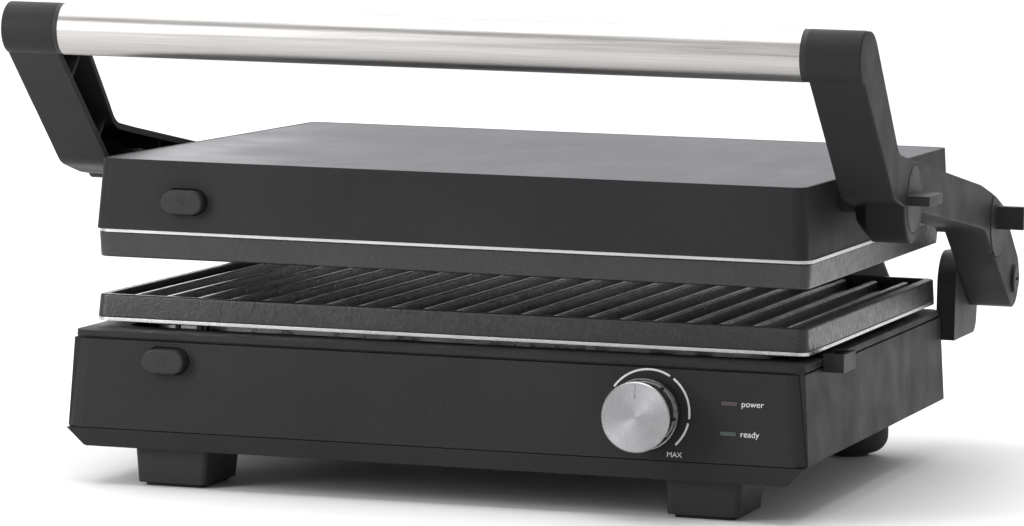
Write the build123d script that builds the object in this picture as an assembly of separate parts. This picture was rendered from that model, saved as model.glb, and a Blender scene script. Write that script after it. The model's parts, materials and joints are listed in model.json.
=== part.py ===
from build123d import *
import math
import os

# Panini press (contact grill). Millimetres, +X right, +Y back, +Z up.
# The origin is on the table, under the centre of the base.

# ---- driving dimensions -------------------------------------------------
BASE_W = 350.0
BASE_D = 300.0
LIP_Z = 18.0  # lower edge of the front lip
WAIST_Z = 27.0  # lower edge of the side walls, where the base is widest
SEAM_Z = 67.8  # top of the base walls
RIM_Z0 = 68.8
RIM_Z1 = 71.4
DRAFT = 0.06  # lean of the moulded walls, mm per mm
WALL = 2.6
GAP = 0.4  # seam between neighbouring covers

PLATE_W = 336.8
PLATE_Y0 = -127.3
LOWER_PLATE_Y1 = 149.7
UPPER_PLATE_Y1 = 155.0
LOWER_PLATE_Z0 = 75.8
LOWER_PLATE_Z1 = 86.4
UPPER_PLATE_Z0 = 103.8
UPPER_PLATE_Z1 = 115.2
STRIP_T = 1.6
RIDGE_PITCH = 15.6

HEAD_W = 337.6
HEAD_Y0 = -133.4
HEAD_Y1 = 181.0
HEAD_Z0 = 117.2
HEAD_Z1 = 149.7

ARM_IN = 175.3
ARM_IN_REAR = 179.4
ARM_OUT = 200.0
ARM_WALL = 3.0
WEB_IN = 196.0

HINGE = (191.5, 84.5)  # y, z of the main hinge
PIVOT = (-54.2, 141.2)  # y, z of the head's pivots in the arms
TUBE = (-162.3, 210.2)  # y, z of the handle tube
RELEASE = (145.5, 117.5)  # y, z of the release lever's pivot
TUBE_R = 11.8
TUBE_HALF = 172.6

KNOB = (101.8, 47.9)  # x, z of the thermostat knob
BUTTON_L = (-126.5, 59.2)  # x, z of the lower release button
BUTTON_U = (-124.5, 131.1)
BUTTON_SIZE = (20.6, 11.4)
RUN = 0.05  # radial clearance of a running fit

os.makedirs("parts", exist_ok=True)


# ---- helpers ------------------------------------------------------------
def save(name, shape):
    export_step(shape, f"parts/{name}.step")


def block(x0, x1, y0, y1, z0, z1):
    size = Box(x1 - x0, y1 - y0, z1 - z0)
    return Pos((x0 + x1) / 2, (y0 + y1) / 2, (z0 + z1) / 2) * size


def facing_x(x, y, z):
    """A plane across X whose own axes are Y and Z."""
    return Plane((x, y, z), x_dir=(0, 1, 0), z_dir=(1, 0, 0))


def facing_y(x, y, z):
    return Plane((x, y, z), x_dir=(1, 0, 0), z_dir=(0, 1, 0))


def rod_x(centre, x0, x1, radius):
    return extrude(facing_x(x0, *centre) * Circle(radius), x1 - x0)


def rod_y(centre, y0, y1, radius):
    return extrude(facing_y(centre[0], y0, centre[1]) * Circle(radius), y1 - y0)


def rod_z(x, y, z0, z1, radius):
    return extrude(Plane((x, y, z0)) * Circle(radius), z1 - z0)


def cone_x(centre, x0, x1, radius0, radius1):
    ends = [facing_x(x, *centre) * Circle(r) for x, r in ((x0, radius0), (x1, radius1))]
    return loft(ends, ruled=True)


def slab(x_half, y0, y1, z0, z1, radius):
    face = RectangleRounded(2 * x_half, y1 - y0, radius)
    return extrude(Plane((0, (y0 + y1) / 2, z0)) * face, z1 - z0)


def leaning(low, high, radius):
    """A block between two levels, each given as (x_half, y0, y1, z)."""
    faces = []
    for x_half, y0, y1, z in (low, high):
        face = RectangleRounded(2 * x_half, y1 - y0, radius)
        faces.append(Plane((0, (y0 + y1) / 2, z)) * face)
    return loft(faces, ruled=True)


def skirt(z0, z1, radius, side=0.0, front=0.0, back=0.0):
    """The base's drafted outline between two heights, inset on each side."""
    levels = []
    for z in (z0, z1):
        lean = DRAFT * (z - WAIST_Z)
        half_d = BASE_D / 2 - lean
        levels.append((BASE_W / 2 - lean - side, front - half_d, half_d - back, z))
    return leaning(levels[0], levels[1], radius)


def head_skirt(z0, z1, radius, inset=0.0):
    levels = []
    for z in (z0, z1):
        lean = DRAFT * (z - HEAD_Z0) + inset
        levels.append((HEAD_W / 2 - lean, HEAD_Y0 + lean, HEAD_Y1 - lean, z))
    return leaning(levels[0], levels[1], radius)


def mirrored(shape):
    return mirror(shape, about=Plane.YZ)


def joined(shapes):
    total = shapes[0]
    for shape in shapes[1:]:
        total = total + shape
    return total


def group(shapes):
    """Separate solids that share one node."""
    return Compound(children=[Solid(s.solids()[0].wrapped) for s in shapes])


def capsule(centre, y0, y1, grow=0.0):
    width, height = BUTTON_SIZE
    face = SlotOverall(width + 2 * grow, height + 2 * grow)
    return extrude(facing_y(centre[0], y0, centre[1]) * face, y1 - y0)


def coil(start, radius, wire, pitch, length, axis):
    """A helical spring of round wire."""
    path = Helix(pitch=pitch, height=length, radius=radius)
    section = Plane(origin=path @ 0, z_dir=path % 0) * Circle(wire)
    spring = sweep(section, path=path, is_frenet=True)
    return Plane(start, z_dir=axis) * spring


# ---- base ---------------------------------------------------------------
POST_X = 158.0
POST_Y = 118.0
PANEL_R = 8.0  # rounding of the front panel's upright edges
PANEL_DEPTH = 4.4  # how far its ends reach round the corners
LENS_X = 139.0
POWER_Z = 53.7
READY_Z = 40.3
LENS_SIZE = (7.4, 1.8)
COVER_SEAT_Z = 22.8  # where the cover's screws seat
INLET = (-118.0, 44.0)  # x, z of the mains gland
INLET_R = 9.5


def lens(z, y0, y1, grow=0.0):
    face = RectangleRounded(LENS_SIZE[0] + 2 * grow, LENS_SIZE[1] + 2 * grow, 0.6)
    return extrude(facing_y(LENS_X, y0, z) * face, y1 - y0)


def opened(wall):
    """The wall with everything that passes through the base's front cut out."""
    wall -= capsule(BUTTON_L, -160, -140, 0.4)
    wall -= rod_y(KNOB, -160, -140, 5.0)
    for z in (POWER_Z, READY_Z):
        wall -= lens(z, -160, -140, 0.1)
    return wall


def front_skin(solid, inner, z0, z1, depth):
    """What a solid leaves round the front and its corners, outside the inner wall."""
    solid -= skirt(z0 - 1, z1 + 1, PANEL_R - WALL, side=inner, front=inner)
    return solid & block(-BASE_W, BASE_W, -BASE_D, depth - BASE_D / 2, z0 - 1, z1 + 1)


def base_housing():
    shell = skirt(WAIST_Z, SEAM_Z, 1.6)
    shell += skirt(SEAM_Z, RIM_Z0, 1.6, side=1.2, front=1.2, back=1.2)
    shell -= skirt(WAIST_Z - 1, RIM_Z0 + 1, 1.0, side=WALL, front=2 * WALL + 0.4, back=WALL)
    lip_y0 = -BASE_D / 2
    corner = 9.0
    half = BASE_W / 2
    lip = FilletPolyline(
        (-half, WAIST_Z),
        (-half + corner, LIP_Z),
        (half - corner, LIP_Z),
        (half, WAIST_Z),
        radius=3.0,
    )
    edge = Line((half, WAIST_Z), (-half, WAIST_Z))
    face = make_face([lip, edge])
    upright = Plane((0, lip_y0 + 2 * WALL, 0), x_dir=(1, 0, 0), z_dir=(0, -1, 0))
    shell += extrude(upright * face, 2 * WALL)
    chin = Polyline((-153, WAIST_Z), (-150, WAIST_Z), (-147.8, LIP_Z - 1), (-153, LIP_Z - 1), close=True)
    shell -= extrude(facing_x(-BASE_W, 0, 0) * make_face(chin), 2 * BASE_W)
    z0 = WAIST_Z - 0.6
    z1 = SEAM_Z + 0.2
    solid = skirt(z0, z1, PANEL_R, side=-3.0, front=-3.0)
    shell -= front_skin(solid, WALL + 0.1, z0, z1, PANEL_DEPTH + 0.2)
    for x in (-POST_X, POST_X):
        for y in (-POST_Y, POST_Y):
            wall_x = math.copysign(BASE_W / 2 - WALL, x)
            shell += rod_z(x, y, 29.0, RIM_Z0, 4.5)
            shell += block(min(x, wall_x), max(x, wall_x), y - 1.5, y + 1.5, 30.0, RIM_Z0 - 4)
    for x in (-POST_X, POST_X):
        for y in (-POST_Y, POST_Y):
            shell -= rod_z(x, y, 28.0, 60.0, 1.7)
    shell -= rod_y(INLET, 140, 155, INLET_R - 2.0)
    for z in range(36, 62, 6):
        shell -= extrude(facing_y(-70, 140, z) * SlotOverall(70, 2.6), 20)
    return opened(shell + spring_box())


def spring_box():
    """Walls behind the lower button that its spring rests against."""
    x, z = BUTTON_L
    seat = block(x - 12, x + 12, -132.6, -131.0, z - 8.0, z + 8.0)
    seat -= block(x - 2.9, x + 2.9, -134.0, -130.0, z - 2.4, z + 2.4)
    for side in (-1, 1):
        inner = x + side * 11.0
        outer = x + side * 12.5
        seat += block(min(inner, outer), max(inner, outer), -145.4, -131.0, z - 8.0, z + 8.0)
    return seat


def front_panel():
    z0 = WAIST_Z - 0.2
    z1 = SEAM_Z - GAP / 2
    return front_skin(opened(skirt(z0, z1, PANEL_R)), WALL, z0, z1, PANEL_DEPTH)


def base_cover():
    """Shallow tray that closes the bottom, with vents between the feet."""
    half = BASE_W / 2 - WALL - 0.4
    deep = BASE_D / 2 - 2 * WALL - 0.8
    high = (half, -deep, deep + WALL, WAIST_Z + 1.6)
    low = (half - 22, -deep + 6, deep + WALL - 6, LIP_Z)
    tray = leaning(low, high, 6.0)
    high_in = (half - 2.4, -deep + 2.4, deep + WALL - 2.4, WAIST_Z + 1.7)
    low_in = (half - 24.6, -deep + 8.4, deep + WALL - 8.4, LIP_Z + 2.2)
    tray -= leaning(low_in, high_in, 4.0)
    for x in (-POST_X, POST_X):
        for y in (-POST_Y, POST_Y):
            tray += rod_z(x, y, COVER_SEAT_Z, 29.0, 5.0)
            tray -= rod_z(x, y, 15.0, 40.0, 1.8)
            tray -= rod_z(x, y, 15.0, COVER_SEAT_Z + 2.2, 3.9)
    for column in range(-3, 4):
        for row in (-1, 1):
            vent = SlotOverall(34, 4.0, rotation=90)
            tray -= extrude(Plane((column * 14.0, row * 30.0, 15)) * vent, 8)
    return tray


def base_rim():
    """Flat frame on top of the walls, with a gutter from the plate's drain."""
    rim = skirt(RIM_Z0, RIM_Z1, 6.0)
    rim -= slab(157.0, -121.0, 140.0, RIM_Z0 - 1, RIM_Z1 + 1, 8.0)
    return rim - block(161.0, 180.0, -105.0, -97.0, RIM_Z1 - 1.3, RIM_Z1 + 1)


def lower_reflector():
    """Bright sheet pan under the element, with a flange that lies on the rim."""
    pan = slab(150.0, -106.0, 134.0, 56.0, RIM_Z1 + 1.0, 12.0)
    pan += slab(160.0, -106.0, 143.0, RIM_Z1, RIM_Z1 + 1.0, 12.0)
    pan -= slab(149.0, -105.0, 133.0, 57.0, RIM_Z1 + 2.0, 11.0)
    for x in ELEMENT_ENDS:
        pan -= rod_z(x, ELEMENT_END_Y, 50.0, 60.0, 4.0)
    return pan


def strip(z0, y1):
    """Bright trim frame between a plate and its housing."""
    half = PLATE_W / 2 + 1.0
    ring = slab(half, PLATE_Y0 - 1.0, y1 + 1.0, z0, z0 + STRIP_T, 6.5)
    return ring - slab(152.0, -122.0, 144.0, z0 - 1, z0 + STRIP_T + 1, 10.0)


ELEMENT_R = 3.3
ELEMENT_ENDS = (-24.0, 24.0)
ELEMENT_END_Y = 110.0


def element(z, drop):
    """Sheathed heating rod: one loop, with its ends turned towards the wiring."""
    left, right = ELEMENT_ENDS
    points = [
        (left, ELEMENT_END_Y, z + drop),
        (left, ELEMENT_END_Y, z),
        (left, 60.0, z),
        (-110.0, 60.0, z),
        (-110.0, -70.0, z),
        (110.0, -70.0, z),
        (110.0, 60.0, z),
        (right, 60.0, z),
        (right, ELEMENT_END_Y, z),
        (right, ELEMENT_END_Y, z + drop),
    ]
    path = FilletPolyline(*points, radius=9.0)
    section = Plane(origin=path @ 0, z_dir=path % 0) * Circle(ELEMENT_R)
    return sweep(section, path=path)


def plate(z_back, z_rim, y1, lug_z):
    """Cast grill plate: floor, raised rim, ridges front to back, latch lug.

    z_back is the face towards the heater and z_rim the edge of the rim.
    """
    up = 1.0 if z_rim > z_back else -1.0
    half = PLATE_W / 2
    lean = DRAFT * abs(z_rim - z_back)
    back = (half + lean, PLATE_Y0 - lean, y1 + lean, z_back)
    rim = (half, PLATE_Y0, y1, z_rim)
    casting = leaning(back, rim, 4.5)
    casting = fillet(casting.faces().sort_by(Axis.Z)[-1 if up > 0 else 0].edges(), 0.9)
    floor_z = z_back + up * 4.4
    casting -= slab(half - 4.0, PLATE_Y0 + 4.0, y1 - 4.0, *sorted((floor_z, z_rim + up)), 4.0)
    ridge_top = z_rim - up * 1.4
    ridge = FilletPolyline((-2.6, floor_z), (-1.4, ridge_top), (1.4, ridge_top), (2.6, floor_z), radius=1.1)
    section = make_face([ridge, Line((2.6, floor_z), (-2.6, floor_z))])
    for index in range(-10, 11):
        x = index * RIDGE_PITCH
        start = Plane((x, y1 - 12.0, 0), x_dir=(1, 0, 0), z_dir=(0, -1, 0))
        casting += extrude(start * section, y1 - 24.0 - PLATE_Y0)
    lug = block(-133, -120, -119.0, -116.5, *sorted((z_back, lug_z)))
    window_z = sorted((z_back - up * 2.4, z_back - up * 5.0))
    lug -= block(-131, -122, -120.0, -115.0, *window_z)
    return casting + lug


def lower_strip():
    ring = strip(LOWER_PLATE_Z0 - 0.1 - STRIP_T, LOWER_PLATE_Y1)
    return ring - block(150.0, 167.0, -105.0, -97.0, 70.0, LOWER_PLATE_Z0)


def lower_plate():
    """The plate fat drains from, by a slot in the right front of its floor."""
    casting = plate(LOWER_PLATE_Z0, LOWER_PLATE_Z1, LOWER_PLATE_Y1, LOWER_PLATE_Z0 - 6.3)
    return casting - block(160.5, 164.0, -104.0, -98.0, LOWER_PLATE_Z0 - 1, LOWER_PLATE_Z1 + 1)


def drip_spout():
    """Open chute on the right side that leads fat from the plate's drain."""
    x0 = 172.4
    outer = block(x0, 182.6, -113.0, -89.0, 66.0, 74.2)
    outer -= block(x0 - 1, 180.8, -111.0, -91.0, 70.0, 75.0)
    outer -= block(x0 - 1, x0 + 0.6, -114.0, -88.0, 65.0, 75.0)
    outlet = block(176.0, 180.8, -104.0, -98.0, 65.0, 71.0)
    return outer - outlet


FRONT_FOOT = (108.0, 144.0, -141.4, -95.6)
REAR_FOOT = (134.0, 121.0)
REAR_FOOT_R = 19.0
PAD_T = 1.6  # rubber under each foot


def front_foot(side):
    x0, x1, y0, y1 = FRONT_FOOT
    middle = ((x0 + x1) / 2, (y0 + y1) / 2)
    low = Plane((*middle, PAD_T)) * RectangleRounded(x1 - x0 - 2.6, y1 - y0 - 2.0, 3.0)
    high = Plane((*middle, LIP_Z)) * RectangleRounded(x1 - x0, y1 - y0, 3.0)
    foot = loft([low, high], ruled=True)
    return foot if side > 0 else mirrored(foot)


def rear_foot(side):
    """Round foot with a domed edge."""
    dome = 9.0
    profile = Polyline((0, PAD_T), (REAR_FOOT_R - dome, PAD_T))
    bend = JernArc((REAR_FOOT_R - dome, PAD_T), (1, 0), dome, 90)
    rest = Polyline(bend @ 1, (REAR_FOOT_R, LIP_Z), (0, LIP_Z), (0, PAD_T))
    face = make_face([profile, bend, rest])
    foot = revolve(Plane.XZ * face, axis=Axis.Z)
    return Pos(side * REAR_FOOT[0], REAR_FOOT[1], 0) * foot


def foot_pads():
    x0, x1, y0, y1 = FRONT_FOOT
    pads = []
    for side in (-1, 1):
        face = RectangleRounded(x1 - x0 - 8, y1 - y0 - 8, 3.0)
        centre = Plane((side * (x0 + x1) / 2, (y0 + y1) / 2, 0))
        pads.append(extrude(centre * face, PAD_T))
        pads.append(rod_z(side * REAR_FOOT[0], REAR_FOOT[1], 0, PAD_T, REAR_FOOT_R - 9.4))
    return group(pads)


def base_screws():
    screws = []
    for x in (-POST_X, POST_X):
        for y in (-POST_Y, POST_Y):
            head = rod_z(x, y, COVER_SEAT_Z + 0.2, COVER_SEAT_Z + 2.2, 3.3)
            head -= block(x - 2.2, x + 2.2, y - 0.4, y + 0.4, COVER_SEAT_Z, COVER_SEAT_Z + 1)
            head -= block(x - 0.4, x + 0.4, y - 2.2, y + 2.2, COVER_SEAT_Z, COVER_SEAT_Z + 1)
            screws.append(head + rod_z(x, y, COVER_SEAT_Z + 2.2, 44.0, 1.6))
    return group(screws)


# ---- thermostat, lamps and wiring gear ----------------------------------
KNOB_FACE_Y = -171.0
KNOB_R = 15.8
PANEL_Y = -148.0  # the front panel near the knob's height


def knob_body():
    """Black skirt of the knob, with a hollow back."""
    body = rod_y(KNOB, KNOB_FACE_Y + 1.2, PANEL_Y - 2.4, KNOB_R)
    body -= rod_y(KNOB, KNOB_FACE_Y + 4.0, PANEL_Y, KNOB_R - 1.8)
    body += rod_y(KNOB, KNOB_FACE_Y + 4.0, PANEL_Y - 4.0, 6.0)
    groove = rod_y(KNOB, -158.0, -156.6, KNOB_R + 1) - rod_y(KNOB, -158.0, -156.6, KNOB_R - 0.8)
    body -= groove
    return body - rod_y(KNOB, KNOB_FACE_Y + 6.0, PANEL_Y, 3.0)


def knob_ring():
    return rod_y(KNOB, -158.0, -156.6, KNOB_R + 0.3) - rod_y(KNOB, -158.0, -156.6, KNOB_R - 0.8)


def knob_face():
    """Turned aluminium cap with a pointer notch at the top."""
    cap = rod_y(KNOB, KNOB_FACE_Y, KNOB_FACE_Y + 1.2, KNOB_R)
    cap = chamfer(cap.edges().filter_by(GeomType.CIRCLE).sort_by(Axis.Y)[0], 0.5)
    x, z = KNOB
    return cap - block(x - 0.5, x + 0.5, KNOB_FACE_Y - 1, KNOB_FACE_Y + 0.5, z + 8.5, z + KNOB_R - 1.2)


def knob_shaft():
    """Steel spindle with a flat, from the knob into the thermostat."""
    shaft = rod_y(KNOB, KNOB_FACE_Y + 6.0, -128.0, 3.0)
    x, z = KNOB
    return shaft - block(x - 4, x + 4, KNOB_FACE_Y + 5, -156.0, z + 2.2, z + 4)


def thermostat():
    x, z = KNOB
    body = block(x - 15, x + 15, -138.0, -116.0, z - 13, z + 13)
    body += rod_y(KNOB, -144.4, -138.0, 4.9)
    body -= rod_y(KNOB, -150.0, -127.0, 3.0 + RUN)
    for offset in (-8, 0, 8):
        body += block(x + offset - 2, x + offset + 2, -116.0, -108.0, z - 9, z - 8.2)
    return body


def dial_scale():
    """Raised arc segments that show how far the knob is turned."""
    x, z = KNOB
    radius = 19.2
    line_w = 0.9
    skin = skirt(WAIST_Z, SEAM_Z - 0.2, 5.0, side=1.3, front=-0.2)
    skin -= skirt(WAIST_Z - 1, SEAM_Z + 1, 1.0, side=-20)
    skin = skin.solids().sort_by(Axis.Y)[0]
    upright = Plane((x, -146.0, z), x_dir=(1, 0, 0), z_dir=(0, -1, 0))
    segments = []
    for start, end in ((60.0, 146.0), (-6.0, 54.0), (-46.0, -12.0)):
        inner = CenterArc((0, 0), radius - line_w / 2, start, end - start)
        outer = CenterArc((0, 0), radius + line_w / 2, start, end - start)
        face = make_face([inner, Line(inner @ 1, outer @ 1), outer, Line(inner @ 0, outer @ 0)])
        segments.append(extrude(upright * face, 6.0) & skin)
    return group(segments)


def indicator_lens(z):
    lean = DRAFT * (z - WAIST_Z)
    return lens(z, -BASE_D / 2 + lean - 0.1, -142.0)


def indicator_board():
    """Small board behind the lenses, with one lamp for each."""
    board = block(LENS_X - 9, LENS_X + 9, -136.5, -134.9, 33.0, 62.0)
    for z in (POWER_Z, READY_Z):
        board += rod_y((LENS_X, z), -141.4, -136.5, 2.4)
    for z in (34.5, 60.5):
        board += block(LENS_X - 9, LENS_X - 6, -142.2, -136.5, z - 1.5, z + 1.5)
    return board


def cord_inlet():
    """Gland in the back wall where the mains lead would enter."""
    wall_y = BASE_D / 2 - DRAFT * (INLET[1] - WAIST_Z) + 0.7
    gland = rod_y(INLET, wall_y, wall_y + 7.0, INLET_R)
    gland += rod_y(INLET, 138.0, wall_y, INLET_R - 2.2)
    gland += rod_y(INLET, 138.0, 143.0, INLET_R)
    return gland - rod_y(INLET, 130.0, 170.0, 3.7)


def terminal_block():
    body = block(-98, -56, 92.0, 114.0, 22.0, 36.0)
    for x in (-91, -77, -63):
        body -= rod_z(x, 103.0, 30.0, 37.0, 2.6)
        body += rod_z(x, 103.0, 30.0, 33.0, 2.3)
    return body


def thermal_fuse():
    holder = block(-8, 8, 84.0, 92.0, 48.0, 55.9)
    return holder + rod_x((88.0, 45.4), -14.0, 14.0, 3.4)


# ---- release latches ----------------------------------------------------
def button(centre, front_y):
    """Capsule button and its stem."""
    cap = capsule(centre, front_y, front_y + 12.0)
    cap = fillet(cap.faces().sort_by(Axis.Y)[0].edges(), 1.2)
    x, z = centre
    return cap + block(x - 2.5, x + 2.5, front_y + 12.0, front_y + 22.0, z - 2, z + 2)


def latch(centre, y_stem, tongue_z):
    """Bracket on the stem whose tongue holds the plate's lug."""
    x, z = centre
    upright = block(-131.0, -122.0, -112.6, -110.0, *sorted((z - 3.0, tongue_z)))
    upright += block(-131.0, -122.0, -112.6, -110.0, *sorted((z + 3.0, tongue_z)))
    stem = block(x - 2.5, x + 2.5, y_stem, -112.6, z - 2, z + 2)
    half = 0.8
    tongue = block(-130.4, -122.6, -118.4, -112.6, tongue_z - half, tongue_z + half)
    upright += block(-131.0, -122.0, -112.6, -110.0, tongue_z - half, tongue_z + half)
    return upright + stem + tongue


def button_spring(centre, y0):
    x, z = centre
    return coil((x, y0, z), 4.2, 0.35, 1.5, 6.0, (0, 1, 0))


# ---- hinge --------------------------------------------------------------
EAR_IN = 169.6
EAR_OUT = 179.0
EAR_Z = 56.0  # lower edge of the bridge and its ears


def hinge_bridge():
    """Cross bar on the base's back wall that carries an ear at each side."""
    bar = block(-EAR_OUT, EAR_OUT, BASE_D / 2 + 0.2, 164.0, EAR_Z, 66.0)
    y, z = HINGE
    outline = FilletPolyline(
        (160.0, EAR_Z),
        (150.2, EAR_Z),
        (150.2, 100.0),
        (y + 9.0, 98.0),
        (y + 16.0, 84.5),
        (y + 12.0, EAR_Z),
        (190.0, EAR_Z),
        radius=[2.0, 16.0, 8.0, 9.0, 8.0],
    )
    ear_face = make_face([outline, Line((190.0, EAR_Z), (160.0, EAR_Z))])
    ear = extrude(facing_x(EAR_IN, 0, 0) * ear_face, EAR_OUT - EAR_IN)
    ear = ear + mirrored(ear)
    bore = rod_x(HINGE, -190, 190, 5.0 + RUN)
    return bar + ear - bore


def harness_guard():
    """Light bracket behind the plates that shields the wires to the head."""
    outline = Polyline((112, 71.6), (146, 71.6), (146, 80.0), (139.5, 95.5), (112, 95.5), close=True)
    upright = Plane((0, 158.9, 0), x_dir=(1, 0, 0), z_dir=(0, -1, 0))
    guard = extrude(upright * make_face(outline), 2.4)
    return guard + block(112, 146, 143.5, 158.9, 71.6, 73.4)


def knuckle(side):
    """Hinge pin with a collar inside the arm and a head inside the ear."""
    pin = rod_x(HINGE, 165.6, 195.4, 5.0)
    pin += rod_x(HINGE, 165.6, EAR_IN - 0.2, 8.0)
    pin += rod_x(HINGE, EAR_OUT + 0.6, EAR_OUT + 3.4, 10.0)
    return pin if side > 0 else mirrored(pin)


# ---- arms ---------------------------------------------------------------
HINGE_R = 14.3
HEAD_END_R = 11.8
PIVOT_HUB_R = 13.0
LEFT_HUB_R = 6.8
ARM_EDGE = 0.9  # rounding of the arm's outer edges
TILT_R = 15.6
LEVER_R = 18.2
LEVER_SINK = 2.2


def arm_outline(boss_r, inset=0.0):
    """Side view of an arm as one face in Y and Z, shrunk by inset."""
    limb = FilletPolyline(
        (-167.0, 200.6),
        (-96.5, 143.8),
        (-72.0, 138.2),
        (85.6, 118.6),
        (113.6, 115.0),
        (HINGE[0] - 8.2, HINGE[1] - 11.7),
        (HINGE[0] + 8.6, HINGE[1] + 11.4),
        (160.0, 123.5),
        (136.8, 130.4),
        (103.5, 137.2),
        (-61.0, 159.6),
        (-88.0, 163.6),
        (-146.6, 221.5),
        (-162.3, 221.5),
        radius=[18.0, 30.0, 120.0, 20.0, 1.0, 1.0, 14.0, 60.0, 120.0, 40.0, 16.0, 20.0],
    )
    close = Line((-162.3, 221.5), (-167.0, 200.6))
    face = make_face([limb, close])
    if inset:
        face = offset(face, amount=-inset)
    face += Pos(*TUBE) * Circle(HEAD_END_R - inset)
    face += Pos(*HINGE) * Circle(HINGE_R - inset)
    return face + Pos(*PIVOT) * Circle(boss_r - inset)


def lock_boss(x1, shrink):
    """Swelling round the tilt lock: a cone that opens outwards, cut flat on top."""
    wide = TILT_R + 4.9 - shrink
    swell = cone_x(PIVOT, ARM_IN, 182.0, PIVOT_HUB_R - shrink, wide)
    swell += rod_x(PIVOT, 182.0, x1, wide)
    return swell - block(ARM_IN, ARM_OUT, -100.0, 0.0, 156.0 - shrink, 180.0)


def arm(with_lever):
    """Right-hand arm: a channel open inwards, with hubs and cross ribs."""
    hub = PIVOT_HUB_R if with_lever else LEFT_HUB_R
    shell = extrude(facing_x(ARM_IN, 0, 0) * arm_outline(hub), ARM_OUT - ARM_IN)
    hollow = arm_outline(hub, ARM_WALL)
    pocket = extrude(facing_x(ARM_IN - 1, 0, 0) * hollow, WEB_IN - ARM_IN + 1)
    if with_lever:
        shell += lock_boss(ARM_OUT, 0.0)
        pocket += lock_boss(WEB_IN, ARM_WALL)
    shell = fillet(shell.faces().sort_by(Axis.X)[-1].edges(), ARM_EDGE)
    ribs = rod_x(PIVOT, ARM_IN + 0.2, WEB_IN, 8.0)
    ribs += rod_x(HINGE, EAR_OUT + 4.0, WEB_IN, 8.6)
    ribs += rod_x(TUBE, ARM_IN, WEB_IN, HEAD_END_R - 2.0)
    for y in (-20.0, 24.0, 68.0, 112.0):
        ribs += block(ARM_IN + 3, WEB_IN, y - 1, y + 1, 100.0, 170.0)
    for along, up in ((-136.0, 190.0), (-100.0, 160.0)):
        spar = Rot(-45, 0, 0) * Box(WEB_IN - ARM_IN - 3, 2.0, 60.0)
        ribs += Pos((WEB_IN + ARM_IN + 3) / 2, along, up) * spar
    shell = shell - pocket + (ribs & pocket)
    shell -= block(ARM_IN - 1, ARM_IN_REAR, 118.0, 230.0, 60.0, 150.0)
    shell -= rod_x(PIVOT, ARM_IN - 1, WEB_IN + 2.0, 5.0)
    shell -= rod_x(HINGE, ARM_IN - 1, WEB_IN + 1.0, 5.0 + RUN)
    shell -= rod_x(TUBE, ARM_IN - 1, WEB_IN + 1.0, 4.0)
    if with_lever:
        shell -= rod_x(PIVOT, WEB_IN, ARM_OUT + 1, 3.0 + RUN)
        shell -= rod_x(RELEASE, ARM_IN, ARM_OUT + 1, 3.0 + RUN)
        shell -= rod_x(RELEASE, ARM_OUT - LEVER_SINK, ARM_OUT + 1, LEVER_R + 0.4)
        shell -= rod_x(PIVOT, ARM_OUT - LEVER_SINK, ARM_OUT + 1, TILT_R + 0.4)
    return shell


def handle_tube():
    return rod_x(TUBE, -TUBE_HALF, TUBE_HALF, TUBE_R) - rod_x(TUBE, -180, 180, TUBE_R - 1.2)


def handle_rod():
    """Threaded tie rod that clamps the tube between the arms."""
    return rod_x(TUBE, -WEB_IN - 0.6, WEB_IN + 0.6, 3.9)


def collar(side):
    """Plug that centres the tube on the arm's end."""
    plug = rod_x(TUBE, TUBE_HALF, ARM_IN, HEAD_END_R - 0.1)
    plug += rod_x(TUBE, TUBE_HALF - 14.0, TUBE_HALF, TUBE_R - 1.3)
    plug -= rod_x(TUBE, 150, 180, 4.0)
    return plug if side > 0 else mirrored(plug)


def pivot_pin(side):
    pin = rod_x(PIVOT, 156.0, WEB_IN + 2.0, 4.95)
    if side > 0:
        pin -= rod_x(PIVOT, 186.0, 200.0, 3.0 + RUN)
    return pin if side > 0 else mirrored(pin)


def hinge_cap(side):
    """Round screw cap over the hinge, with a driver slot."""
    y, z = HINGE
    cap = rod_x(HINGE, ARM_OUT, ARM_OUT + 1.6, 6.9)
    cap = chamfer(cap.edges().filter_by(GeomType.CIRCLE).sort_by(Axis.X)[-1], 0.5)
    cap -= block(ARM_OUT + 0.8, ARM_OUT + 3, y - 4.5, y + 4.5, z - 0.7, z + 0.7)
    return cap if side > 0 else mirrored(cap)


def tilt_lock():
    """Turning disc on the right arm with a grip fin across it."""
    y, z = PIVOT
    sunk = ARM_OUT - LEVER_SINK + 0.2
    disc = rod_x(PIVOT, sunk, ARM_OUT + 0.3, TILT_R)
    disc = chamfer(disc.edges().filter_by(GeomType.CIRCLE).sort_by(Axis.X)[-1], 0.4)
    disc += block(ARM_OUT + 0.2, ARM_OUT + 10.4, y - 15.0, y + 14.0, z - 2.2, z + 2.2)
    return disc + rod_x(PIVOT, 188.0, sunk, 3.0)


def release_lever():
    """Disc let into the arm's outer face, with a tab for the thumb."""
    y, z = RELEASE
    sunk = ARM_OUT - LEVER_SINK + 0.2
    disc = rod_x(RELEASE, sunk, ARM_OUT + 0.4, LEVER_R)
    inside = arm_outline(PIVOT_HUB_R, 0.8)
    disc = disc & extrude(facing_x(ARM_IN, 0, 0) * inside, 40)
    disc += block(ARM_OUT + 0.4, ARM_OUT + 13.4, y - 3.0, y + 3.0, z - 4.6, z + 6.6)
    return disc + rod_x(RELEASE, 190.0, sunk, 3.0)


def release_spring():
    return coil((184.6, *RELEASE), 5.2, 0.5, 1.9, 7.6, (1, 0, 0))


# ---- head ---------------------------------------------------------------
BUSH_R = 7.4
HEAD_POST_X = 157.0
HEAD_POST_Y = (-100.0, 160.0)


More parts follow.
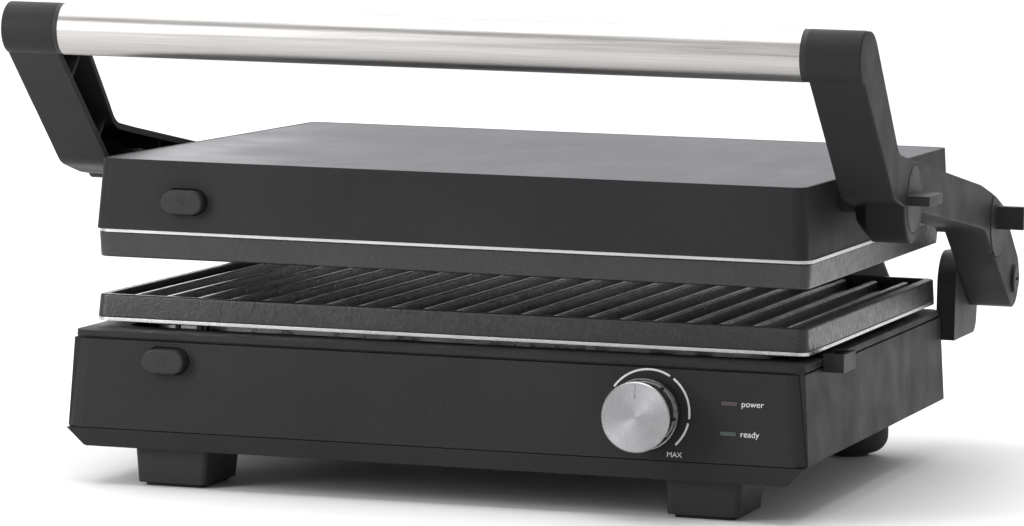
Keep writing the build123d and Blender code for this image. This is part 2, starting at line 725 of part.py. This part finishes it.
def upper_housing():
    shell = head_skirt(HEAD_Z0, HEAD_Z1 - 1.0, 6.5)
    shell -= head_skirt(HEAD_Z0 - 1, HEAD_Z1 - 1.0 - WALL, 4.0, inset=WALL)
    rim = head_skirt(HEAD_Z1 - 1.0, HEAD_Z1, 6.4)
    rim -= head_skirt(HEAD_Z1 - 2.0, HEAD_Z1 + 1.0, 5.2, inset=1.3)
    shell += rim
    x, z = BUTTON_U
    seat = block(x - 12, x + 12, -116.4, -114.8, z - 6.5, HEAD_Z1 - 2.0)
    seat -= block(x - 2.9, x + 2.9, -120.0, -110.0, z - 2.4, z + 2.4)
    shell += seat
    shell -= capsule(BUTTON_U, -150, -120, 0.4)
    shell -= rod_x(PIVOT, -180, 180, BUSH_R)
    for x in (-HEAD_POST_X, HEAD_POST_X):
        for y in HEAD_POST_Y:
            shell += rod_z(x, y, 121.0, HEAD_Z1 - 2.0, 4.5)
            shell -= rod_z(x, y, 120.0, 140.0, 1.7)
    return shell


def top_sheet():
    """Dark metal sheet let into the top of the head."""
    return head_skirt(HEAD_Z1 - 1.0, HEAD_Z1 - 0.1, 5.0, inset=1.6)


def upper_reflector():
    """Bright sheet tray over the upper element."""
    tray = slab(150.0, -106.0, 134.0, HEAD_Z0, 134.0, 12.0)
    tray += slab(164.0, -106.0, 143.5, HEAD_Z0, HEAD_Z0 + 1.0, 12.0)
    tray -= slab(149.0, -105.0, 133.0, HEAD_Z0 - 1, 133.0, 11.0)
    for x in ELEMENT_ENDS:
        tray -= rod_z(x, ELEMENT_END_Y, 130.0, 140.0, 4.0)
    return tray


def pivot_frame():
    """Steel crossbar over the reflector that carries the head's two pivots."""
    y, z = PIVOT
    bar = block(-154.0, 154.0, y - 12, y + 12, 134.0, 135.6)
    for side in (-1, 1):
        x = side * 155.0
        lug = block(x - 1.0, x + 1.0, y - 12, y + 12, 134.0, 145.8)
        bar += lug
    return bar - rod_x(PIVOT, -170, 170, 5.1)


def pivot_bush(side):
    """Bush that carries the head on the arm's pivot pin."""
    bush = rod_x(PIVOT, 160.0, ARM_IN - 0.4, BUSH_R)
    bush -= rod_x(PIVOT, 150.0, 180.0, 5.0)
    return bush if side > 0 else mirrored(bush)


def head_screws():
    screws = []
    for x in (-HEAD_POST_X, HEAD_POST_X):
        for y in HEAD_POST_Y:
            head = rod_z(x, y, 118.6, 120.6, 3.3)
            head -= block(x - 2.2, x + 2.2, y - 0.4, y + 0.4, 118.0, 119.4)
            screws.append(head + rod_z(x, y, 120.6, 134.0, 1.6))
    return group(screws)


# ---- write every sub-part ------------------------------------------------
save("base_housing", base_housing())
save("front_panel", front_panel())
save("base_cover", base_cover())
save("base_rim", base_rim())
save("lower_reflector", lower_reflector())
save("lower_strip", lower_strip())
save("lower_element", element(66.0, -20.0))
save("lower_plate", lower_plate())
save("drip_spout", drip_spout())
save("foot_pads", foot_pads())
save("base_screws", base_screws())
save("knob_body", knob_body())
save("knob_ring", knob_ring())
save("knob_face", knob_face())
save("knob_shaft", knob_shaft())
save("thermostat", thermostat())
save("dial_scale", dial_scale())
save("power_lens", indicator_lens(POWER_Z))
save("ready_lens", indicator_lens(READY_Z))
save("indicator_board", indicator_board())
save("cord_inlet", cord_inlet())
save("terminal_block", terminal_block())
save("thermal_fuse", thermal_fuse())
save("lower_button", button(BUTTON_L, -155.0))
save("lower_latch", latch(BUTTON_L, -133.0, 72.0))
save("lower_button_spring", button_spring(BUTTON_L, -139.3))
save("upper_button", button(BUTTON_U, -138.6))
save("upper_latch", latch(BUTTON_U, -116.6, 118.9))
save("upper_button_spring", button_spring(BUTTON_U, -122.9))
save("hinge_bridge", hinge_bridge())
save("harness_guard", harness_guard())
save("handle_tube", handle_tube())
save("handle_rod", handle_rod())
save("tilt_lock", tilt_lock())
save("release_lever", release_lever())
save("release_spring", release_spring())
save("right_arm", arm(True))
save("left_arm", mirrored(arm(False)))
save("upper_housing", upper_housing())
save("top_sheet", top_sheet())
save("upper_strip", strip(UPPER_PLATE_Z1 + 0.2, UPPER_PLATE_Y1))
save("upper_reflector", upper_reflector())
save("upper_element", element(122.5, 20.0))
save("upper_plate", plate(UPPER_PLATE_Z1, UPPER_PLATE_Z0, UPPER_PLATE_Y1, UPPER_PLATE_Z1 + 6.3))
save("pivot_frame", pivot_frame())
save("head_screws", head_screws())
for suffix, sign in (("left", -1), ("right", 1)):
    save(f"front_foot_{suffix}", front_foot(sign))
    save(f"rear_foot_{suffix}", rear_foot(sign))
    save(f"knuckle_{suffix}", knuckle(sign))
    save(f"collar_{suffix}", collar(sign))
    save(f"pivot_pin_{suffix}", pivot_pin(sign))
    save(f"hinge_cap_{suffix}", hinge_cap(sign))
    save(f"pivot_bush_{suffix}", pivot_bush(sign))
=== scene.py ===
import json
import math

import bpy
from mathutils import Matrix, Vector


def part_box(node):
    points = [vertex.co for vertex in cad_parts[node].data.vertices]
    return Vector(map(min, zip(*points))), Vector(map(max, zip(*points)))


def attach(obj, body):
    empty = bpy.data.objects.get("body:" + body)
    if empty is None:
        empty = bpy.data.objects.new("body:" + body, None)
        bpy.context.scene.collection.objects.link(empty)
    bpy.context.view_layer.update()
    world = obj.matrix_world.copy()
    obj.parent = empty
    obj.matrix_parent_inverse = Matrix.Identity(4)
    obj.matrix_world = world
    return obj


# The finished look of a panini press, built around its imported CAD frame.

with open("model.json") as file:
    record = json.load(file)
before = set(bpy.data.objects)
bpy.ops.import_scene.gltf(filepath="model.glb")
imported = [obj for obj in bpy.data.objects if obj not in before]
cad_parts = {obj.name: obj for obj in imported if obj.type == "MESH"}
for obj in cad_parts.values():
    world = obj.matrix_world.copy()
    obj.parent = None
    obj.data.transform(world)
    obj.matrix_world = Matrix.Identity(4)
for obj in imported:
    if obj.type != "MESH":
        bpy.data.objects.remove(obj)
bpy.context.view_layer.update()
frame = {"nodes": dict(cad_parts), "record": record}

MM = 0.001
SLOTS = {part["node"]: part["material_slot"] for part in frame["record"]["subparts"]}


# ---- materials -------------------------------------------------------------
RIDGE_DROP = 1.4 * MM  # how far the ridges lie below the lower plate's rim
GLINT_BAND_START = 1.0 * MM  # below a ridge's crown, where the painted highlight band starts
GLINT_BAND_FULL = 0.4 * MM  # and where it is complete
RIM_MARGIN = 12.0 * MM  # clear border between the plate's outline and the ridges
RIM_SLACK = 1.0 * MM  # keeps the mask off the upper plate


class Look:
    """A procedural material: one Principled shader and short calls for what feeds it."""

    def __init__(self, name, roughness, metallic=0.0, **sockets):
        self.material = bpy.data.materials.new(name)
        self.material.use_nodes = True
        self.tree = self.material.node_tree
        self.shader = self.tree.nodes["Principled BSDF"]
        self.shader.inputs["Roughness"].default_value = roughness
        self.shader.inputs["Metallic"].default_value = metallic
        for socket, value in sockets.items():
            self.shader.inputs[socket.replace("_", " ")].default_value = value
        self.place = self.tree.nodes.new("ShaderNodeTexCoord").outputs["Object"]
        self.normal = None

    def link(self, source, target):
        self.tree.links.new(source, target)

    def mapped(self, stretch=(1, 1, 1), centre=(0, 0, 0)):
        mapping = self.tree.nodes.new("ShaderNodeMapping")
        mapping.vector_type = "POINT"
        mapping.inputs["Scale"].default_value = stretch
        mapping.inputs["Location"].default_value = [-c * s for c, s in zip(centre, stretch)]
        self.link(self.place, mapping.inputs["Vector"])
        return mapping.outputs["Vector"]

    def noise(self, scale, detail=2.0, stretch=(1, 1, 1), rough=0.5):
        """Fractal noise; scale is in features per metre."""
        texture = self.tree.nodes.new("ShaderNodeTexNoise")
        texture.inputs["Scale"].default_value = scale
        texture.inputs["Detail"].default_value = detail
        texture.inputs["Roughness"].default_value = rough
        self.link(self.mapped(stretch), texture.inputs["Vector"])
        return texture.outputs["Fac"]

    def cells(self, scale):
        texture = self.tree.nodes.new("ShaderNodeTexVoronoi")
        texture.inputs["Scale"].default_value = scale
        self.link(self.mapped(), texture.inputs["Vector"])
        return texture.outputs["Distance"]

    def spread(self, source, low, high, start=0.3, end=0.7):
        """Maps start..end of the source to low..high."""
        node = self.tree.nodes.new("ShaderNodeMapRange")
        sockets = ("From Min", "From Max", "To Min", "To Max")
        for socket, value in zip(sockets, (start, end, low, high)):
            node.inputs[socket].default_value = value
        self.link(source, node.inputs["Value"])
        return node.outputs["Result"]

    def maths(self, operation, first, second):
        node = self.tree.nodes.new("ShaderNodeMath")
        node.operation = operation
        for socket, value in zip(node.inputs, (first, second)):
            if isinstance(value, (int, float)):
                socket.default_value = value
            else:
                self.link(value, socket)
        return node.outputs["Value"]

    def blend(self, amount, first, second):
        """A colour between two, each a tuple or another node's output."""
        node = self.tree.nodes.new("ShaderNodeMix")
        node.data_type = "RGBA"
        self.link(amount, node.inputs["Factor"])
        for socket, value in zip((node.inputs[6], node.inputs[7]), (first, second)):
            if isinstance(value, tuple):
                socket.default_value = (*value, 1.0)
            else:
                self.link(value, socket)
        return node.outputs[2]

    def bump(self, height, distance, strength=1.0):
        node = self.tree.nodes.new("ShaderNodeBump")
        node.inputs["Strength"].default_value = strength
        node.inputs["Distance"].default_value = distance
        self.link(height, node.inputs["Height"])
        if self.normal is not None:
            self.link(self.normal, node.inputs["Normal"])
        self.normal = node.outputs["Normal"]

    def soft_edges(self, radius):
        """Rounds the look of hard edges and returns a mask that is 1 along them."""
        bevel = self.tree.nodes.new("ShaderNodeBevel")
        bevel.samples = 6
        bevel.inputs["Radius"].default_value = radius
        self.normal = bevel.outputs["Normal"]
        flat = self.tree.nodes.new("ShaderNodeNewGeometry").outputs["True Normal"]
        dot = self.tree.nodes.new("ShaderNodeVectorMath")
        dot.operation = "DOT_PRODUCT"
        self.link(bevel.outputs["Normal"], dot.inputs[0])
        self.link(flat, dot.inputs[1])
        return self.spread(dot.outputs["Value"], 1.0, 0.0, 0.8, 0.97)

    def finish(self, colour, roughness=None):
        self.link(colour, self.shader.inputs["Base Color"])
        if roughness is not None:
            self.link(roughness, self.shader.inputs["Roughness"])
        if self.normal is not None:
            self.link(self.normal, self.shader.inputs["Normal"])
        return self.material


def shade(colour, factor):
    return tuple(c * factor for c in colour)


def moulded(name, colour, roughness, grain=1.0, edge=0.5, **sockets):
    """Moulded plastic: fine texture, cloudy sheen, and edges that are a little glossier and
    painted lighter as a painted highlight.
    """
    look = Look(name, roughness, **sockets)
    edges = look.soft_edges(edge * MM)
    clouds = look.noise(14.0, 4.0)
    body = look.blend(look.spread(clouds, 0.0, 1.0), shade(colour, 0.88), shade(colour, 1.14))
    fleck = look.spread(look.noise(1500.0, 2.0), 0.0, 1.0, 0.35, 0.65)
    body = look.blend(look.maths("MULTIPLY", fleck, 0.25), body, shade(colour, 1.9))
    # Edges painted lighter in uneven patches: a painted highlight.
    painted_edge_sheen = look.maths("MULTIPLY", edges, look.spread(look.noise(60.0, 4.0), 0.15, 0.6))
    body = look.blend(painted_edge_sheen, body, shade(colour, 2.1))
    look.bump(look.noise(2200.0, 3.0), 0.05 * MM * grain)
    sheen = look.spread(look.noise(45.0, 5.0), roughness - 0.06, roughness + 0.07)
    return look.finish(body, look.maths("SUBTRACT", sheen, look.maths("MULTIPLY", edges, 0.12)))


def charcoal_plastic(name):
    return moulded(name, (0.021, 0.021, 0.0225), 0.48, Specular_IOR_Level=0.08)


def black_plastic(name):
    return moulded(name, (0.014, 0.014, 0.0155), 0.5, Specular_IOR_Level=0.28)


def thermostat_resin(name):
    return moulded(name, (0.22, 0.16, 0.1), 0.5)


def terminal_white(name):
    return moulded(name, (0.72, 0.71, 0.66), 0.4)


def guard_grey(name):
    return moulded(name, (0.42, 0.42, 0.43), 0.45)


def foot_rubber(name):
    return moulded(name, (0.018, 0.018, 0.018), 0.8, grain=2.0)


def ridge_crowns(look):
    """Mask that is 1 along the crowns of the lower plate's ridges, where a highlight is painted.
    """
    low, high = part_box("lower_plate")
    split = look.tree.nodes.new("ShaderNodeSeparateXYZ")
    look.link(look.place, split.inputs["Vector"])
    crown = high.z - RIDGE_DROP
    mask = look.spread(split.outputs["Z"], 0.0, 1.0, crown - GLINT_BAND_START, crown - GLINT_BAND_FULL)
    for axis, start, end in (("X", low.x, high.x), ("Y", low.y, high.y)):
        place = split.outputs[axis]
        mask = look.maths("MULTIPLY", mask, look.maths("GREATER_THAN", place, start + RIM_MARGIN))
        mask = look.maths("MULTIPLY", mask, look.maths("LESS_THAN", place, end - RIM_MARGIN))
    under_rim = look.maths("LESS_THAN", split.outputs["Z"], high.z + RIM_SLACK)
    return look.maths("MULTIPLY", mask, under_rim)


def nonstick_cast(name):
    """Coated casting: satin dark grey, with fine pale specks and a cast ripple."""
    look = Look(name, 0.34, Specular_IOR_Level=0.5)
    edges = look.soft_edges(0.9 * MM)
    clouds = look.spread(look.noise(22.0, 5.0), 0.0, 1.0)
    body = look.blend(clouds, (0.009, 0.009, 0.011), (0.016, 0.016, 0.019))
    specks = look.spread(look.noise(900.0, 2.0, rough=0.7), 0.0, 1.0, 0.6, 0.72)
    body = look.blend(look.maths("MULTIPLY", specks, 0.5), body, (0.07, 0.07, 0.075))
    dark = look.spread(look.cells(420.0), 1.0, 0.0, 0.05, 0.2)
    body = look.blend(look.maths("MULTIPLY", dark, 0.5), body, (0.012, 0.012, 0.013))
    # Edges painted a little lighter: a painted highlight.
    body = look.blend(look.maths("MULTIPLY", edges, 0.25), body, (0.06, 0.06, 0.065))
    look.bump(look.noise(700.0, 3.0), 0.12 * MM)
    look.bump(look.noise(120.0, 3.0), 0.25 * MM, 0.6)
    rough = look.spread(look.noise(300.0, 4.0), 0.26, 0.42)
    crowns = ridge_crowns(look)
    # Ridge crowns painted nearly white: a painted highlight in place of the glints of light on
    # them. The crowns are also made glossier.
    painted_glint = look.maths("MULTIPLY", crowns, look.spread(look.noise(80.0, 4.0), 0.55, 1.0))
    body = look.blend(painted_glint, body, (0.85, 0.85, 0.86))
    return look.finish(body, look.maths("SUBTRACT", rough, look.maths("MULTIPLY", crowns, 0.14)))


def bright_trim(name):
    look = Look(name, 0.3, 1.0)
    look.soft_edges(0.3 * MM)
    tone = look.spread(look.noise(30.0, 4.0), 0.0, 1.0)
    look.bump(look.noise(1200.0, 2.0, (0.05, 0.05, 1.0)), 0.01 * MM)
    return look.finish(
        look.blend(tone, (0.5, 0.5, 0.5), (0.62, 0.62, 0.62)),
        look.spread(look.noise(260.0, 4.0), 0.24, 0.38),
    )


def brushed_tube(name):
    """Stainless tube, brushed along its length."""
    look = Look(name, 0.33, 1.0, Anisotropic=0.55)
    along = (0.012, 1.0, 1.0)
    tone = look.spread(look.noise(1300.0, 5.0, along), 0.0, 1.0, 0.25, 0.75)
    steel = look.blend(tone, (0.38, 0.37, 0.36), (0.5, 0.485, 0.475))
    smudge = look.spread(look.noise(26.0, 4.0), 0.0, 0.35, 0.45, 0.7)
    steel = look.blend(smudge, steel, (0.42, 0.4, 0.39))
    look.bump(look.noise(2600.0, 3.0, along), 0.012 * MM)
    return look.finish(steel, look.spread(look.noise(1700.0, 4.0, along), 0.27, 0.42))


def dark_sheet(name):
    """Satin coated sheet that mirrors the room softly, with a cloudy finish."""
    look = Look(name, 0.4, 0.0, Specular_IOR_Level=0.24, Specular_Tint=(0.93, 0.91, 1.0, 1.0))
    clouds = look.spread(look.noise(9.0, 6.0, rough=0.62), 0.0, 1.0)
    body = look.blend(clouds, (0.035, 0.033, 0.04), (0.075, 0.07, 0.085))
    wipes = look.spread(look.noise(40.0, 4.0, (1.0, 0.25, 1.0)), 0.0, 0.4, 0.5, 0.75)
    body = look.blend(wipes, body, (0.11, 0.105, 0.125))
    look.bump(look.noise(160.0, 3.0), 0.02 * MM)
    look.bump(look.noise(2400.0, 2.0), 0.008 * MM)
    return look.finish(body, look.spread(look.noise(18.0, 6.0), 0.32, 0.5))


def turned_aluminium(name):
    """Face-turned cap: fine rings round the knob's axis and a fan-shaped shine."""
    look = Look(name, 0.3, 1.0, Anisotropic=0.85)
    tangent = look.tree.nodes.new("ShaderNodeTangent")
    tangent.direction_type = "RADIAL"
    tangent.axis = "Y"
    look.link(tangent.outputs["Tangent"], look.shader.inputs["Tangent"])
    low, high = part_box("knob_face")
    rings = look.tree.nodes.new("ShaderNodeTexWave")
    rings.wave_type = "RINGS"
    rings.rings_direction = "Y"
    rings.inputs["Scale"].default_value = 800.0
    rings.inputs["Distortion"].default_value = 1.2
    rings.inputs["Detail"].default_value = 2.0
    look.link(look.mapped(centre=(low + high) / 2), rings.inputs["Vector"])
    tone = look.spread(look.noise(500.0, 4.0), 0.3, 0.7)
    look.bump(rings.outputs["Fac"], 0.006 * MM)
    return look.finish(
        look.blend(tone, (0.3, 0.3, 0.31), (0.36, 0.36, 0.37)),
        look.spread(look.noise(180.0, 4.0), 0.24, 0.34),
    )


def gloss_black(name):
    look = Look(name, 0.12, Coat_Weight=0.5, Coat_Roughness=0.06)
    look.soft_edges(0.4 * MM)
    tone = look.spread(look.noise(40.0, 3.0), 0.0, 1.0)
    look.bump(look.noise(90.0, 2.0), 0.02 * MM)
    return look.finish(
        look.blend(tone, (0.008, 0.008, 0.009), (0.014, 0.014, 0.015)),
        look.spread(look.noise(350.0, 5.0), 0.08, 0.2),
    )


def metal(name, dark, light, roughness, scale):
    look = Look(name, roughness, 1.0)
    look.soft_edges(0.3 * MM)
    tone = look.spread(look.noise(scale, 5.0), 0.0, 1.0)
    look.bump(look.noise(scale * 12, 3.0), 0.02 * MM)
    return look.finish(
        look.blend(tone, dark, light),
        look.spread(look.noise(scale * 3, 4.0), roughness - 0.08, roughness + 0.12),
    )


def zinc_steel(name):
    return metal(name, (0.42, 0.43, 0.44), (0.62, 0.62, 0.6), 0.34, 130.0)


def reflector_sheet(name):
    return metal(name, (0.6, 0.6, 0.61), (0.8, 0.8, 0.8), 0.28, 40.0)


def heater_sheath(name):
    return metal(name, (0.09, 0.08, 0.075), (0.24, 0.21, 0.19), 0.5, 70.0)


def tinted(name, dark, light):
    """Unlit indicator window of tinted clear plastic."""
    look = Look(name, 0.18, Coat_Weight=0.4, Coat_Roughness=0.08)
    tone = look.spread(look.noise(500.0, 3.0), 0.0, 1.0)
    look.bump(look.noise(1500.0, 2.0), 0.01 * MM)
    return look.finish(look.blend(tone, dark, light), look.spread(look.noise(700.0), 0.12, 0.26))


def red_lens(name):
    return tinted(name, (0.014, 0.004, 0.0045), (0.028, 0.006, 0.007))


def green_lens(name):
    return tinted(name, (0.0015, 0.014, 0.01), (0.003, 0.03, 0.021))


def board_green(name):
    return tinted(name, (0.01, 0.08, 0.03), (0.02, 0.14, 0.05))


def print_grey(name):
    """Pad-printed ink: slightly uneven cover."""
    look = Look(name, 0.42)
    cover = look.spread(look.noise(1800.0, 3.0), 0.0, 1.0, 0.25, 0.6)
    look.bump(look.noise(2600.0, 2.0), 0.01 * MM)
    return look.finish(
        look.blend(cover, (0.42, 0.42, 0.42), (0.66, 0.66, 0.65)),
        look.spread(cover, 0.36, 0.5),
    )


def floor_paper(name):
    look = Look(name, 0.75)
    tone = look.spread(look.noise(6.0, 3.0), 0.0, 1.0)
    look.bump(look.noise(900.0, 2.0), 0.02 * MM)
    return look.finish(look.blend(tone, (0.8, 0.8, 0.8), (0.84, 0.84, 0.84)))


MAKERS = (
    charcoal_plastic, black_plastic, nonstick_cast, bright_trim, brushed_tube, reflector_sheet,
    heater_sheath, dark_sheet, turned_aluminium, gloss_black, zinc_steel, red_lens, green_lens,
    print_grey, foot_rubber, thermostat_resin, board_green, terminal_white, guard_grey,
)
LOOKS = {maker.__name__: maker(maker.__name__) for maker in MAKERS}


def dress(piece, slot):
    piece.data.materials.clear()
    piece.data.materials.append(LOOKS[slot])


for node, piece in frame["nodes"].items():
    dress(piece, SLOTS[node])


# ---- printed words, and raised signs on the buttons ------------------------
PANEL_SLOPE = 0.06  # lean of the front panel, as y over z
PRINT_DEPTH = 0.03 * MM
PRINT_STAND_OFF = 0.04 * MM
LABEL_GAP = 1.8 * MM
LABEL_SIZE = 3.9 * MM
MAX_SIZE = 3.3 * MM
MAX_PLACE = (-6.4 * MM, -2.6 * MM)  # from the dial's lower right corner


def on_panel(x, z, proud):
    """A point on the front panel's face, stood off by proud."""
    low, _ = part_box("front_panel")
    return Vector((x, low.y + PANEL_SLOPE * (z - low.z) - proud, z))


def word(name, text, left, middle_z, height):
    """Flat printed lettering on the front panel, in the plain built-in font."""
    curve = bpy.data.curves.new(name, "FONT")
    curve.body = text
    curve.size = height
    curve.extrude = PRINT_DEPTH
    curve.align_y = "CENTER"
    piece = bpy.data.objects.new(name, curve)
    bpy.context.collection.objects.link(piece)
    tilt = math.atan(PANEL_SLOPE)
    place = Matrix.Translation(on_panel(left, middle_z, PRINT_STAND_OFF))
    piece.matrix_world = place @ Matrix.Rotation(math.pi / 2 - tilt, 4, "X")
    curve.materials.append(LOOKS["print_grey"])
    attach(piece, "base")


lens_low, lens_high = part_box("power_lens")
ready_low, ready_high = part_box("ready_lens")
knob_low, knob_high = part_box("knob_body")
label_x = lens_high.x + LABEL_GAP
word("label_power", "power", label_x, (lens_low.z + lens_high.z) / 2, LABEL_SIZE)
word("label_ready", "ready", label_x, (ready_low.z + ready_high.z) / 2, LABEL_SIZE)
word("label_max", "MAX", knob_high.x + MAX_PLACE[0], knob_low.z + MAX_PLACE[1], MAX_SIZE)


def raised(name, outlines, thickness, body, slot):
    """Flat shapes in the XZ plane, given as rings of points, raised towards -Y."""
    vertices = []
    faces = []
    for ring in outlines:
        start = len(vertices)
        count = len(ring)
        vertices += [Vector((x, y, z)) for x, y, z in ring]
        vertices += [Vector((x, y - thickness, z)) for x, y, z in ring]
        faces.append(list(range(start, start + count)))
        faces.append(list(range(start + 2 * count - 1, start + count - 1, -1)))
        for i in range(count):
            j = (i + 1) % count
            faces.append([start + j, start + i, start + count + i, start + count + j])
    mesh = bpy.data.meshes.new(name)
    mesh.from_pydata(vertices, [], faces)
    mesh.update()
    piece = bpy.data.objects.new(name, mesh)
    bpy.context.collection.objects.link(piece)
    dress(piece, slot)
    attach(piece, body)


SIGN_TRIANGLE = ((-1.9, -0.5), (1.9, -0.5), (0.0, 2.2))  # mm from the button's middle
SIGN_BAR = ((-1.9, -1.9), (1.9, -1.9), (1.9, -1.2), (-1.9, -1.2))
SIGN_SINK = 0.02 * MM
SIGN_HEIGHT = 0.12 * MM


def release_sign(button, body, up):
    """Sign on a release button: a small triangle and a bar, upside down when up is -1."""
    low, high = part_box(button)
    x = (low.x + high.x) / 2
    z = (low.z + high.z) / 2
    y = low.y + SIGN_SINK
    outlines = []
    for shape in (SIGN_TRIANGLE, SIGN_BAR):
        ring = [(x + a * MM, y, z + b * up * MM) for a, b in shape]
        outlines.append(ring if up > 0 else ring[::-1])
    raised(f"{button}_sign", outlines, SIGN_HEIGHT, body, SLOTS[button])


release_sign("lower_button", "lower_release", 1)
release_sign("upper_button", "upper_release", -1)


# ---- floor, light and camera -----------------------------------------------
FLOOR_HALF = 12.0  # metres
ROOM_STRENGTH = 0.5
LENS = 188.9
CAMERA_PLACE = (0.7078, -2.4524, 0.32545)
CAMERA_TURN = (16.23, 5.09, 1.27)  # degrees of yaw to the left, pitch down and roll
LIGHTS = (  # name, place, what it points at, size, watts
    ("overhead", (-0.2, 0.0, 2.3), (0, 0, 0), (2.8, 2.6), 72.0),
    ("floor_wash", (-1.5, 6.5, 3.5), (-1.5, 6.5, 0), (9.0, 7.0), 330.0),
    ("left_key", (-0.8, -1.05, 0.5), (-0.15, 0, 0.1), (0.5, 0.7), 10.0),
    ("back_card", (-1.7, 2.1, 0.4), (-0.2, 0, 0.2), (1.7, 0.8), 7.0),
    ("right_fill", (2.4, 0.2, 0.7), (0.1, 0, 0.1), (1.0, 1.0), 2.0),
)


def add_floor():
    x = FLOOR_HALF
    corners = [(-x, -x, 0), (x, -x, 0), (x, x, 0), (-x, x, 0)]
    mesh = bpy.data.meshes.new("floor")
    mesh.from_pydata(corners, [], [(0, 1, 2, 3)])
    piece = bpy.data.objects.new("floor", mesh)
    bpy.context.collection.objects.link(piece)
    mesh.materials.append(floor_paper("floor_paper"))


def add_light(name, place, aim, size, watts):
    lamp = bpy.data.lights.new(name, "AREA")
    lamp.shape = "RECTANGLE"
    lamp.size, lamp.size_y = size
    lamp.energy = watts
    piece = bpy.data.objects.new(name, lamp)
    bpy.context.collection.objects.link(piece)
    piece.location = place
    piece.rotation_euler = (Vector(aim) - Vector(place)).to_track_quat("-Z", "Y").to_euler()


def add_world():
    world = bpy.data.worlds.new("studio")
    world.use_nodes = True
    background = world.node_tree.nodes["Background"]
    background.inputs["Color"].default_value = (1.0, 1.0, 1.0, 1.0)
    background.inputs["Strength"].default_value = ROOM_STRENGTH
    bpy.context.scene.world = world


def add_camera():
    """Standing in front and to the right, a little above the press."""
    yaw, pitch, roll = (math.radians(angle) for angle in CAMERA_TURN)
    ahead = math.cos(pitch)
    forward = Vector((-math.sin(yaw) * ahead, math.cos(yaw) * ahead, -math.sin(pitch)))
    right = Vector((math.cos(yaw), math.sin(yaw), 0))
    up = right.cross(forward)
    side = right * math.cos(roll) + up * math.sin(roll)
    top = up * math.cos(roll) - right * math.sin(roll)
    data = bpy.data.cameras.new("camera")
    data.lens = LENS
    data.sensor_width = 36.0
    data.clip_end = 60.0
    camera = bpy.data.objects.new("camera", data)
    bpy.context.collection.objects.link(camera)
    axes = Matrix((side, top, -forward)).transposed().to_4x4()
    camera.matrix_world = Matrix.Translation(CAMERA_PLACE) @ axes
    bpy.context.scene.camera = camera


add_floor()
for light in LIGHTS:
    add_light(*light)
add_world()
add_camera()
bpy.context.scene.view_settings.view_transform = "Standard"
